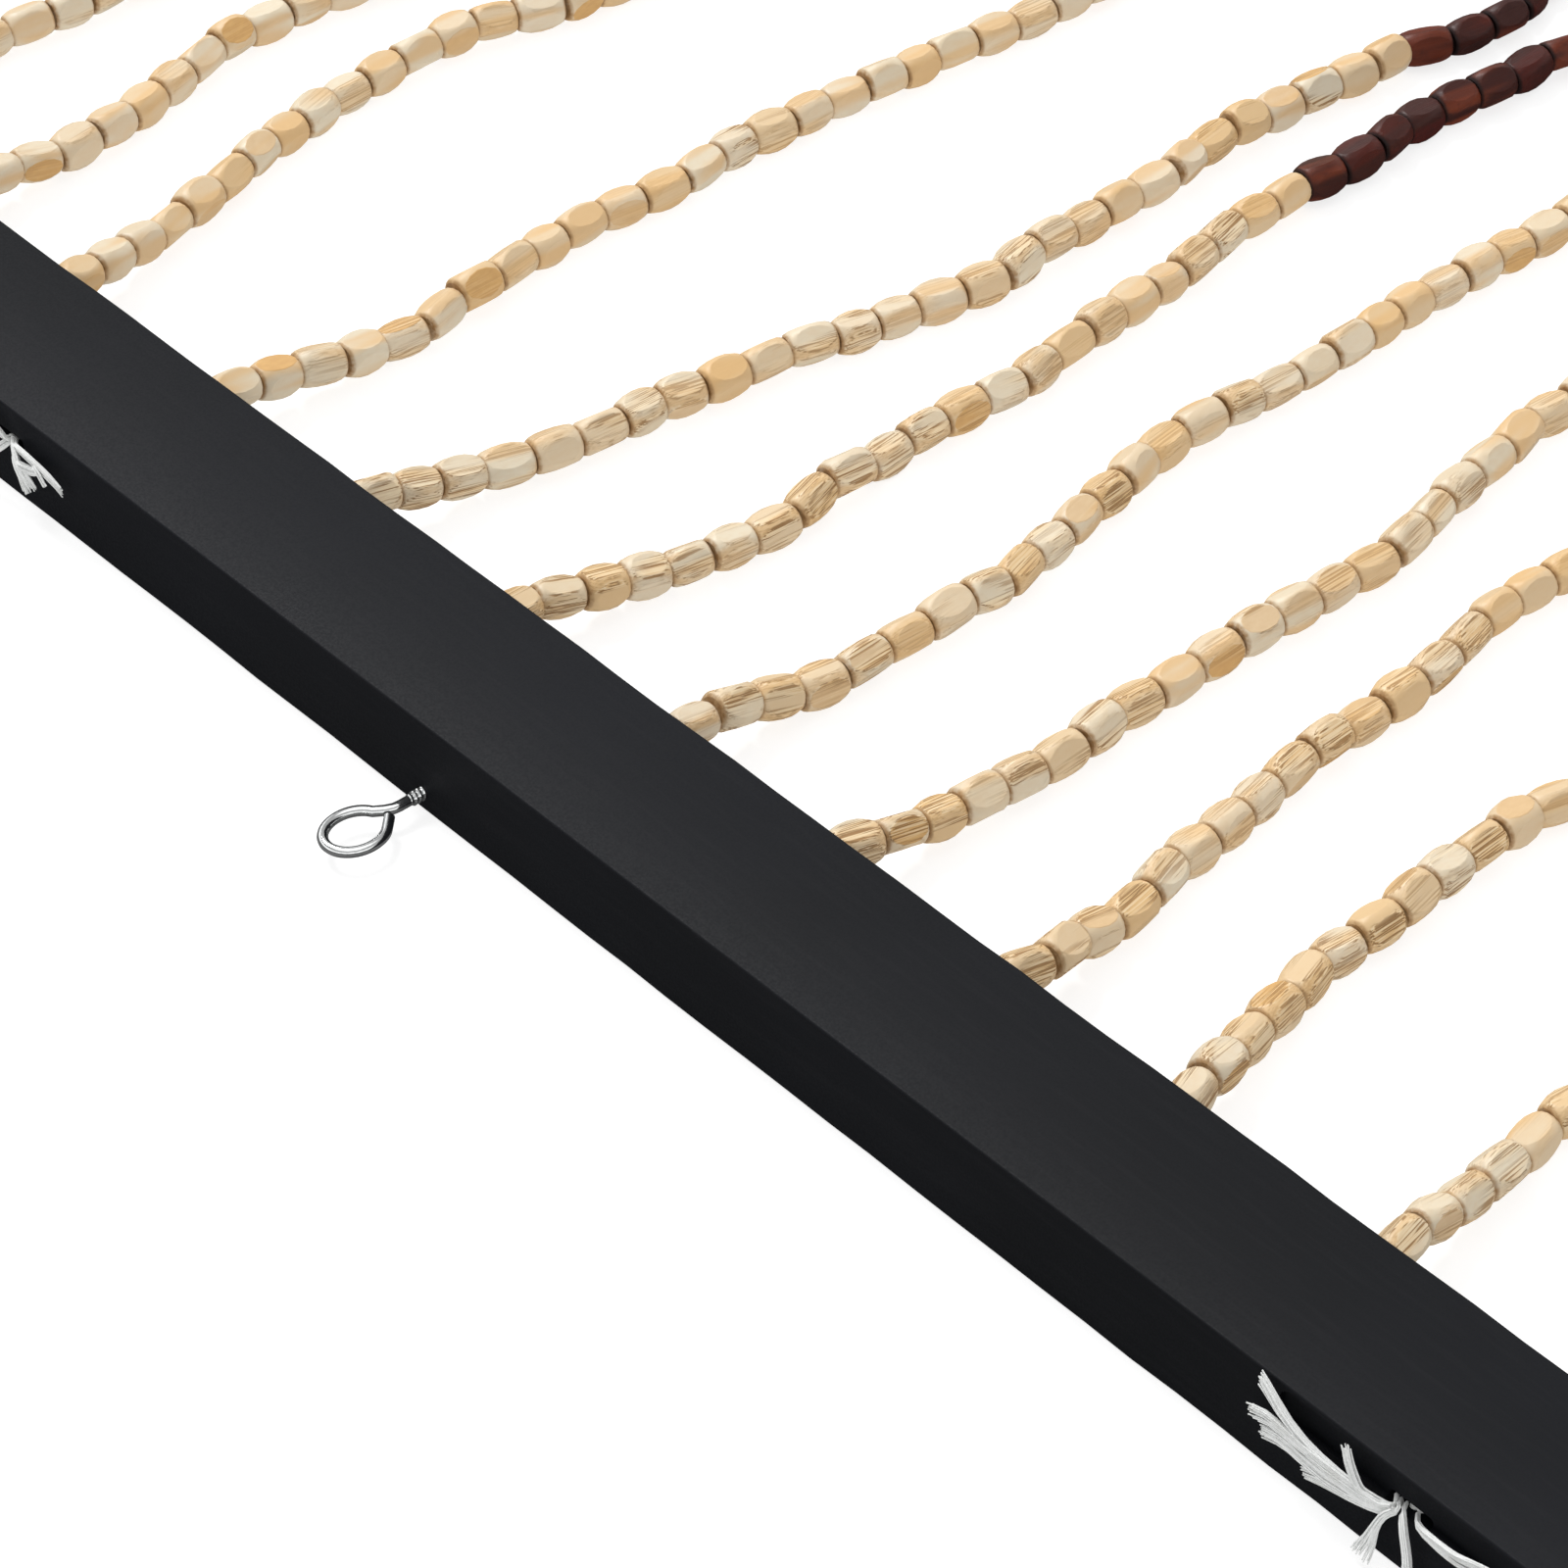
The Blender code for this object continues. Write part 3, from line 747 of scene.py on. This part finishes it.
def rail_cutters():
    """Blocks and rods that cut the groove, the pockets, the slot and the holes of the eyes."""
    half = STRANDS_EACH_SIDE * STRAND_SPACING + STRIP_OVERHANG + CLEARANCE
    low = ROOT_HEIGHT - STRIP_SIZE / 2 - CLEARANCE
    high = ROOT_HEIGHT + STRIP_SIZE / 2 + CLEARANCE
    cutters = [block("groove", (-half, FAR_Y - STRIP_SIZE - CLEARANCE, low),
                     (half, FAR_Y + CUT_PAST, high))]
    for _node, place in TUFTS:
        middle = place + POCKET_SHIFT
        low = (middle - POCKET_LENGTH / 2, FRONT_Y - CUT_PAST, POCKET_MIDDLE - POCKET_HEIGHT / 2)
        high = (middle + POCKET_LENGTH / 2, FRONT_Y + POCKET_DEPTH, POCKET_MIDDLE + POCKET_HEIGHT / 2)
        cutters.append(rounded_cutter("pocket", low, high, 0.45 * POCKET_HEIGHT))
    right = TUFTS[-1][1]
    low = (right + SLOT_START, FRONT_Y - CUT_PAST, SLOT_MIDDLE - SLOT_HEIGHT / 2)
    high = (right + SLOT_END, FRONT_Y + SLOT_DEPTH, SLOT_MIDDLE + SLOT_HEIGHT / 2)
    cutters.append(rounded_cutter("slot", low, high, 0.4 * SLOT_HEIGHT))
    depth = EYE_SHANK_IN + CLEARANCE + CUT_PAST
    for place in EYE_XS:
        middle = (place, FRONT_Y - CUT_PAST + depth / 2, EYE_HEIGHT)
        cutters.append(rod(20, EYE_WIRE / 2 + CLEARANCE, depth, middle))
    return cutters


def make_strip(paint):
    """The fillet strip in the far edge, drilled for the strings."""
    half = STRANDS_EACH_SIDE * STRAND_SPACING + STRIP_OVERHANG
    strip = block("fillet_strip", (-half, FAR_Y - STRIP_SIZE, ROOT_HEIGHT - STRIP_SIZE / 2),
                  (half, FAR_Y, ROOT_HEIGHT + STRIP_SIZE / 2))
    start_edit(strip)
    bpy.ops.mesh.select_all(action="SELECT")
    bpy.ops.mesh.bevel(offset=STRIP_EDGE, segments=2)
    end_edit()
    drills = [rod(16, DRILL_RADIUS, 2 * STRIP_SIZE, (strand * STRAND_SPACING, FAR_Y, ROOT_HEIGHT))
              for strand in STRANDS]
    join(drills[0], drills[1:])
    cut_with(strip, drills[:1])
    smooth_by_angle(strip, WOOD_SMOOTH)
    finish_piece(strip, "fillet_strip", paint, "black_paint", "strands")


# Beads

def bead_radius(along, look):
    """Radius of the turned barrel at a share of its half length."""
    return BEAD_END + (look["belly"] - BEAD_END) * (1.0 - abs(along) ** BELLY_CURVE)


def make_bead(name, look, material):
    """One bead, standing on its axis: a barrel with four flats and, when fine, the mouth of its bore."""
    half = BEAD_LENGTH / 2
    deselect_all()
    bpy.ops.mesh.primitive_cylinder_add(vertices=look["sides"], radius=look["belly"],
                                        depth=BEAD_LENGTH, rotation=(0, 0, look["turn"]))
    bead = bpy.context.object
    place_in_mesh(bead)
    start_edit(bead)
    stations = list(look["stations"]) + ([1.0 - BEAD_RIM / half] if look["fine"] else [])
    for share in sorted({sign * share for share in stations for sign in (-1, 1)}):
        bpy.ops.mesh.select_all(action="SELECT")
        bpy.ops.mesh.bisect(plane_co=(0, 0, share * half), plane_no=(0, 0, 1))
    for share in sorted({sign * share for share in stations + [1.0] for sign in (-1, 1)}):
        pick(bead, "verts", lambda vertex: abs(vertex.co.z - share * half) < 0.02 * MM)
        size = bead_radius(share, look) - (BEAD_RIM if abs(share) == 1.0 else 0.0)
        factor = size / look["belly"]
        bpy.ops.transform.resize(value=(factor, factor, 1.0), center_override=(0, 0, 0))
    for number, depth in enumerate(look["flats"]):
        turn = math.tau * number / 4 + look["skew"][number]
        out = Vector((math.cos(turn), math.sin(turn), look["lean"][number])).normalized()
        bpy.ops.mesh.select_mode(type="VERT")
        bpy.ops.mesh.select_all(action="SELECT")
        bpy.ops.mesh.bisect(plane_co=out * depth, plane_no=out, use_fill=True, clear_outer=True)
        if look["fine"]:
            pick(bead, "faces", lambda face: face.normal.dot(out) > 0.9995 and len(face.verts) > 5)
            bpy.ops.mesh.inset(thickness=FLAT_RIM)
    if look["fine"]:
        pick(bead, "faces", lambda face: abs(face.normal.z) > 0.99)
        bpy.ops.mesh.inset(thickness=BEAD_END - BEAD_RIM - BEAD_HOLE, use_individual=True)
        bpy.ops.mesh.inset(thickness=BORE_TAPER, depth=-BORE_DEPTH, use_individual=True)
    end_edit()
    smooth_by_angle(bead, look["smooth"])
    place = bead.data.attributes.new("bead_at", "FLOAT_VECTOR", "POINT")
    for vertex, value in zip(bead.data.vertices, place.data):
        value.vector = vertex.co / MM
    bead.name = name
    bead.data.materials.clear()
    bead.data.materials.append(material)
    return bead


def bead_looks():
    """Sizes of every kind of bead, the fine ones first. Each has four flats, which differ a little."""
    chance = random.Random(11)
    looks = []
    for number in range(FINE_LOOKS + PLAIN_LOOKS):
        fine = number < FINE_LOOKS
        looks.append({
            "fine": fine,
            "sides": FINE_SIDES if fine else PLAIN_SIDES,
            "turn": 0.0 if fine else math.pi / PLAIN_SIDES,
            "belly": BEAD_BELLY * chance.uniform(0.98, 1.02),
            "stations": FINE_STATIONS if fine else PLAIN_STATIONS,
            "flats": [BEAD_FLAT] + [BEAD_FLAT * chance.uniform(0.95, 1.05) for _ in range(3)],
            "skew": [0.0] + [math.radians(chance.uniform(-5, 5)) for _ in range(3)],
            "lean": [0.0] + [chance.uniform(-0.04, 0.04) for _ in range(3)],
            "smooth": FINE_SMOOTH if fine else PLAIN_SMOOTH,
        })
    return looks


def make_blanks(bamboo, stained):
    """Every bead that the strands pick from: all looks in pale cane, then all in stained cane."""
    looks = bead_looks()
    blanks = []
    for material in (bamboo, stained):
        blanks += [make_bead(f"{material.name}_{number}", look, material)
                   for number, look in enumerate(looks)]
    return blanks


def string_joints(strand):
    """The places between beads on a strand, each with its distance from the headrail."""
    chance = random.Random(1000 + strand)
    end = strand_end(strand)
    if strand in FIRST_BEADS:
        distance = FIRST_BEADS[strand] * MM
    else:
        distance = FIRST_BEAD_AT + chance.uniform(-1, 1) * MM
    joints = []
    while distance < end - 0.5 * BEAD_LENGTH:
        place = strand_point(strand, distance)
        place.x += chance.gauss(0, JOINT_SHIFT)
        place.z += JOINT_LIFT * chance.random() ** 6
        joints.append((distance, place))
        length = BEAD_LENGTH * (1.0 + chance.uniform(-LENGTH_VARIES, LENGTH_VARIES))
        distance = step_along(strand, distance, length + BEAD_GAP)
    joints.append((distance, strand_point(strand, distance)))
    return joints


def lay_beads(strand, blanks):
    """Place, turn, size and finish of every bead on a strand, as lists by attribute name."""
    chance = random.Random(7000 + 31 * strand)
    joints = string_joints(strand)
    looks = FINE_LOOKS + PLAIN_LOOKS
    shapes = [np.array([vertex.co for vertex in blank.data.vertices]) for blank in blanks[:looks]]
    rows = []
    for (distance, start), (_next_distance, stop) in zip(joints, joints[1:]):
        along = (stop - start).normalized()
        near = FINE_STRANDS[0] <= strand <= FINE_STRANDS[1] and distance < FINE_REACH
        look = chance.randrange(FINE_LOOKS) if near else chance.randrange(FINE_LOOKS, looks)
        roll = chance.uniform(0, math.tau)
        turn = along.to_track_quat("Z", "Y") @ Quaternion((0, 0, 1), roll)
        girth = 1.0 + chance.uniform(-GIRTH_VARIES, GIRTH_VARIES)
        size = Vector((girth, girth, ((stop - start).length - BEAD_GAP) / BEAD_LENGTH))
        middle = (start + stop) / 2
        spin = np.array(turn.to_matrix())
        lowest = ((shapes[look] * np.array(size)) @ spin.T)[:, 2].min()
        resting = -lowest
        centre = distance + BEAD_LENGTH / 2
        drop = smooth_step(centre / FLOOR_AT)
        lift = max(0.0, (start.z + stop.z) / 2 - strand_point(strand, centre).z)
        middle.z = resting + lift + (ROOT_HEIGHT - LYING_HEIGHT) * (1.0 - drop)
        stained = is_stained(strand, centre)
        golden = chance.random()
        rough = SMOOTH_FIBRE if strand <= SMOOTH_STRANDS else 0.95 - 0.8 * smooth_step(distance / FIBRE_FADE)
        rows.append({
            "place": middle, "turn": turn, "size": size,
            "pick": look + (looks if stained else 0),
            "bead_seed": chance.random(),
            "bead_tone": chance.random() ** (1.0 if stained else 2.1),
            "bead_skin": 1.0 if golden < 0.2 else (0.5 if golden < 0.45 else 0.0),
            "bead_fibre": min(1.0, max(0.0, chance.gauss(rough, FIBRE_VARIES))),
        })
    return rows


def bead_nodes(blanks):
    """Geometry nodes that set the picked bead on every point and make the result one mesh."""
    tree = bpy.data.node_groups.new("string_the_beads", "GeometryNodeTree")
    tree.interface.new_socket("Geometry", in_out="INPUT", socket_type="NodeSocketGeometry")
    tree.interface.new_socket("Geometry", in_out="OUTPUT", socket_type="NodeSocketGeometry")
    given, made = tree.nodes.new("NodeGroupInput"), tree.nodes.new("NodeGroupOutput")
    choices = tree.nodes.new("GeometryNodeJoinGeometry")
    for blank in reversed(blanks):
        source = tree.nodes.new("GeometryNodeObjectInfo")
        source.inputs["Object"].default_value = blank
        single = tree.nodes.new("GeometryNodeGeometryToInstance")
        tree.links.new(source.outputs["Geometry"], single.inputs[0])
        tree.links.new(single.outputs[0], choices.inputs[0])
    place = tree.nodes.new("GeometryNodeInstanceOnPoints")
    place.inputs["Pick Instance"].default_value = True
    tree.links.new(given.outputs[0], place.inputs["Points"])
    tree.links.new(choices.outputs[0], place.inputs["Instance"])
    for name, kind, title in (("pick", "INT", "Instance Index"), ("turn", "QUATERNION", "Rotation"),
                              ("size", "FLOAT_VECTOR", "Scale")):
        read = tree.nodes.new("GeometryNodeInputNamedAttribute")
        read.data_type = kind
        read.inputs["Name"].default_value = name
        tree.links.new(read.outputs["Attribute"], place.inputs[title])
    solid = tree.nodes.new("GeometryNodeRealizeInstances")
    tree.links.new(place.outputs[0], solid.inputs[0])
    tree.links.new(solid.outputs[0], made.inputs[0])
    return tree


def bead_points(name, rows):
    """A mesh of one point for each bead, with what the bead needs as attributes."""
    mesh = bpy.data.meshes.new(name)
    mesh.from_pydata([row["place"] for row in rows], [], [])
    fields = [("pick", "INT", "value"), ("turn", "QUATERNION", "value"), ("size", "FLOAT_VECTOR", "vector")]
    fields += [(title, "FLOAT", "value") for title in ("bead_seed", "bead_tone", "bead_skin", "bead_fibre")]
    for title, kind, field in fields:
        held = mesh.attributes.new(title, kind, "POINT")
        values = np.array([row[title] for row in rows]).reshape(-1)
        held.data.foreach_set(field, values.astype(np.int32 if kind == "INT" else np.float32))
    made = bpy.data.objects.new(name, mesh)
    bpy.context.scene.collection.objects.link(made)
    return made


def make_strand_pieces(bamboo, stained):
    """One piece for the beads of each strand."""
    blanks = make_blanks(bamboo, stained)
    tree = bead_nodes(blanks)
    for strand in STRANDS:
        name = f"bead_strand_{strand + STRANDS_EACH_SIDE + 1:02d}"
        piece = bead_points(name, lay_beads(strand, blanks))
        step = piece.modifiers.new("string the beads", "NODES")
        step.node_group = tree
        apply_all(piece)
        for title in ("pick", "turn", "size"):
            held = piece.data.attributes.get(title)
            if held:
                piece.data.attributes.remove(held)
        finish_piece(piece, name, None, "bamboo", "strands")
    for blank in blanks:
        bpy.data.objects.remove(blank, do_unlink=True)


# Strings

def make_strings(material):
    """The strings through all the beads, from inside the headrail to the last knot."""
    routes = []
    for strand in STRANDS:
        hole = strand * STRAND_SPACING
        route = [((hole, FAR_Y - 0.8 * STRIP_SIZE, ROOT_HEIGHT), 1.0), ((hole, FAR_Y, ROOT_HEIGHT), 1.0)]
        route += [(place, 1.0) for _distance, place in string_joints(strand)]
        routes.append(route)
    strings = wire(routes, STRING_RADIUS, 4)
    smooth_by_angle(strings, STRING_SMOOTH)
    finish_piece(strings, "strand_strings", material, "string", "strands")
    routes = []
    for strand in STRANDS:
        end = string_joints(strand)[-1][1]
        knot = [(knot_point(end, math.tau * step / KNOT_STEPS), 1.0) for step in range(KNOT_STEPS)]
        tail = [((end.x + aside * MM, end.y + along * MM, height * MM), share)
                for aside, along, height, share in TAIL]
        routes += [knot + knot[:1], tail]
    knots = wire(routes, KNOT_WIRE, 6)
    smooth_by_angle(knots, STRING_SMOOTH)
    finish_piece(knots, "end_knots", material, "string", "strands")


def overhand(turn):
    """Place across, up and deep on an overhand knot, which is a trefoil of size 1."""
    across = (math.sin(turn) + 2 * math.sin(2 * turn)) / 3
    up = (math.cos(turn) - 2 * math.cos(2 * turn)) / 3
    return across, up, -math.sin(3 * turn) / 3


def knot_point(end, turn):
    """A point on the knot just past the last bead."""
    across, up, deep = overhand(turn)
    return (end.x + KNOT_LOOP * across, end.y + KNOT_LOOP * (0.9 + deep * 1.6),
            1.15 * KNOT_LOOP + KNOT_WIRE + KNOT_LOOP * up * 0.8)


# Screw eyes

def make_eye(number, place, material):
    """A bent wire eye with its butt beside the neck, and the thread that bites into the wood."""
    centre = Vector((place, FRONT_Y - EYE_CENTRE_OUT, EYE_HEIGHT))
    face = EYE_CENTRE_OUT
    route = [((0, face + depth * MM, 0), share) for depth, share in EYE_SHANK]
    route += [((across * MM, EYE_HALF_ALONG + past * MM, 0), 1.0) for across, past in EYE_NECK]
    for step in range(RING_STEPS + 1):
        turn = RING_START + (RING_END - RING_START) * step / RING_STEPS
        route.append(((-EYE_HALF_ACROSS * math.sin(turn), EYE_HALF_ALONG * math.cos(turn), 0), 1.0))
    route += [((across * MM, along * MM, 0), 1.0) for across, along in EYE_BUTT]
    route = [(centre + Vector(point), share) for point, share in route]
    eye = wire([route], EYE_WIRE / 2, EYE_SIDES)
    thread = []
    last = THREAD_TURNS * THREAD_AROUND
    for step in range(last + 1):
        turn = math.tau * step / THREAD_AROUND
        along = face - THREAD_START + THREAD_PITCH * step / THREAD_AROUND
        taper = min(1.0, 0.2 + step / THREAD_AROUND, 0.2 + (last - step) / THREAD_AROUND)
        point = Vector((THREAD_OUT * math.cos(turn), along, THREAD_OUT * math.sin(turn)))
        thread.append((centre + point, taper))
    ridge = wire([thread], THREAD_RADIUS, 6)
    join(eye, [ridge])
    smooth_by_angle(eye, EYE_SMOOTH)
    finish_piece(eye, f"screw_eye_wire_{number}", material, "zinc", f"screw_eye_{number}")


# Tufts

def route_point(route, part):
    """A point at a part of the way along a smooth curve through a lock's route."""
    knots = [index / (len(route) - 1) for index in range(len(route))]
    return Vector([curve_through(knots, [point[axis] for point in route], part) for axis in range(3)])


def filament(lock, place, chance):
    """One filament of a lock: its route with its own place in the lock's flat section."""
    _count, root, middle, tip, route = lock
    side, deep = chance.uniform(-1, 1), chance.uniform(-1, 1)
    reach = 1.0 - FILAMENT_SHORTER * chance.random()
    wave, phase = chance.uniform(0.0, FILAMENT_WAVE), chance.uniform(0, math.tau)
    stray = chance.gauss(0, FILAMENT_STRAY)
    points = []
    for step in range(LOCK_STATIONS + 1):
        part = reach * step / LOCK_STATIONS
        here = route_point(route, part)
        ahead = route_point(route, min(1.0, part + 0.02)) - route_point(route, max(0.0, part - 0.02))
        level = Vector((ahead.x, 0, ahead.z))
        across = Vector((-level.z, 0, level.x)).normalized() if level.length > 1e-6 else Vector((1, 0, 0))
        if part < 0.5:
            half = root + (middle - root) * part * 2
        else:
            half = middle + (tip - middle) * smooth_step((part - 0.5) * 2)
        fan = smooth_step((part - LOCK_FANS_FROM) / (1.0 - LOCK_FANS_FROM))
        wide = side * half * (0.85 + 0.15 * fan) + wave * math.sin(phase + 9 * part) + stray * fan
        thick = deep * (LOCK_HALF_THICK / MM) * (1.0 - 0.45 * fan)
        point = here + across * wide + Vector((0, thick, 0))
        height = max(point.z, FILAMENT_RADIUS / MM)
        points.append(((place + point.x * MM, FRONT_Y - point.y * MM, height * MM), 1.0 - 0.3 * fan))
    return points


def make_tuft(node, place, material):
    """Frayed string ends: locks of fine filaments that spread from a knot in the pocket."""
    chance = random.Random(int(abs(place) / MM) + 5)
    locks = MIDDLE_LOCKS if node == "tuft_middle" else OUTER_LOCKS
    routes = [filament(lock, place, chance) for lock in locks for _ in range(lock[0])]
    tuft = wire(routes, FILAMENT_RADIUS, 4)
    knot = []
    for step in range(TUFT_KNOT_STEPS + 1):
        across, up, deep = overhand(math.tau * step / TUFT_KNOT_STEPS)
        point = (place + POCKET_SHIFT + TUFT_KNOT * across * 1.6,
                 FRONT_Y + TUFT_KNOT_IN + TUFT_KNOT * deep * 1.8, POCKET_MIDDLE + TUFT_KNOT * up * 0.7)
        knot.append((point, 1.0))
    lump = wire([knot], KNOT_WIRE, 8)
    join(tuft, [lump])
    smooth_by_angle(tuft, STRING_SMOOTH)
    finish_piece(tuft, node + "_locks", material, "string", node)


# Studio

def make_floor():
    """White surface that takes soft shadows and stays dim in what the gloss reflects."""
    deselect_all()
    bpy.ops.mesh.primitive_plane_add(size=FLOOR_SIZE, location=(0, 0.9, -FLOOR_DROP))
    floor = bpy.context.object
    floor.name = "studio_floor"
    material, tree, shader = new_material("studio_white", 0.9, specular_ior_level=0.0)
    shader.inputs["Base Color"].default_value = (0.35, 0.35, 0.35, 1.0)
    shader.inputs["Emission Strength"].default_value = 1.0
    rays = add_node(tree, "ShaderNodeLightPath").outputs
    glow = mix_colours(tree, rays["Is Camera Ray"], (0.84, 0.84, 0.84), (0.77, 0.77, 0.77))
    tree.links.new(glow, shader.inputs["Emission Color"])
    dim = add_node(tree, "ShaderNodeBsdfDiffuse")
    dim.inputs["Color"].default_value = (0.12, 0.12, 0.12, 1.0)
    mixer = add_node(tree, "ShaderNodeMixShader")
    tree.links.new(rays["Is Glossy Ray"], mixer.inputs[0])
    tree.links.new(shader.outputs[0], mixer.inputs[1])
    tree.links.new(dim.outputs[0], mixer.inputs[2])
    tree.links.new(mixer.outputs[0], tree.nodes["Material Output"].inputs["Surface"])
    floor.data.materials.append(material)


def make_world():
    """White for the camera; a studio with a dark horizon and a bright top for what reflects it."""
    world = bpy.data.worlds.new("studio")
    bpy.context.scene.world = world
    world.use_nodes = True
    tree = world.node_tree
    tree.nodes.clear()
    direction = add_node(tree, "ShaderNodeTexCoord").outputs["Generated"]
    split = add_node(tree, "ShaderNodeSeparateXYZ")
    tree.links.new(direction, split.inputs[0])
    ramp = add_node(tree, "ShaderNodeValToRGB")
    tree.links.new(split.outputs["Z"], ramp.inputs[0])
    for place, _value in SKY[1:-1]:
        ramp.color_ramp.elements.new(place)
    for element, (place, value) in zip(ramp.color_ramp.elements, SKY):
        element.position = place
        element.color = (value, value, value, 1.0)
    seen = add_node(tree, "ShaderNodeBackground")
    seen.inputs["Color"].default_value = (1.0, 1.0, 1.0, 1.0)
    seen.inputs["Strength"].default_value = 1.02
    lit = add_node(tree, "ShaderNodeBackground")
    tree.links.new(ramp.outputs[0], lit.inputs["Color"])
    mixer = add_node(tree, "ShaderNodeMixShader")
    tree.links.new(add_node(tree, "ShaderNodeLightPath").outputs["Is Camera Ray"], mixer.inputs[0])
    tree.links.new(lit.outputs[0], mixer.inputs[1])
    tree.links.new(seen.outputs[0], mixer.inputs[2])
    tree.links.new(mixer.outputs[0], add_node(tree, "ShaderNodeOutputWorld").inputs["Surface"])


def make_lights():
    deselect_all()
    bpy.ops.object.light_add(type="SUN", location=(-1.0, 2.0, 3.0))
    key = bpy.context.object
    key.name = "key_light"
    key.data.energy = SUN_STRENGTH
    key.data.angle = SUN_ANGLE
    key.rotation_euler = SUN_FROM.to_track_quat("Z", "Y").to_euler()


def make_camera():
    deselect_all()
    bpy.ops.object.camera_add()
    camera = bpy.context.object
    camera.name = "photo_camera"
    camera.data.lens = LENS
    camera.data.sensor_width = SENSOR
    camera.data.clip_start = 0.01
    camera.data.clip_end = 50.0
    azimuth, elevation = CAMERA_AZIMUTH, CAMERA_ELEVATION
    back = Vector((math.sin(azimuth) * math.cos(elevation), -math.cos(azimuth) * math.cos(elevation),
                   math.sin(elevation)))
    camera.location = LOOK_AT + back * CAMERA_DISTANCE
    camera.rotation_mode = "QUATERNION"
    camera.rotation_quaternion = (-back).to_track_quat("-Z", "Y")
    bpy.context.scene.camera = camera


bpy.context.scene.view_settings.view_transform = "Standard"
make_camera()
make_floor()
make_world()
make_lights()

paint = make_paint()
zinc = make_zinc()
cotton = make_string_material()
bead_masks = make_bead_group()
bamboo = make_bamboo(bead_masks)
stained = make_stained(bead_masks)

make_rail(paint)
make_strip(paint)
make_strand_pieces(bamboo, stained)
make_strings(cotton)
for number, place in enumerate(EYE_XS, start=1):
    make_eye(number, place, zinc)
for node, place in TUFTS:
    make_tuft(node, place, cotton)
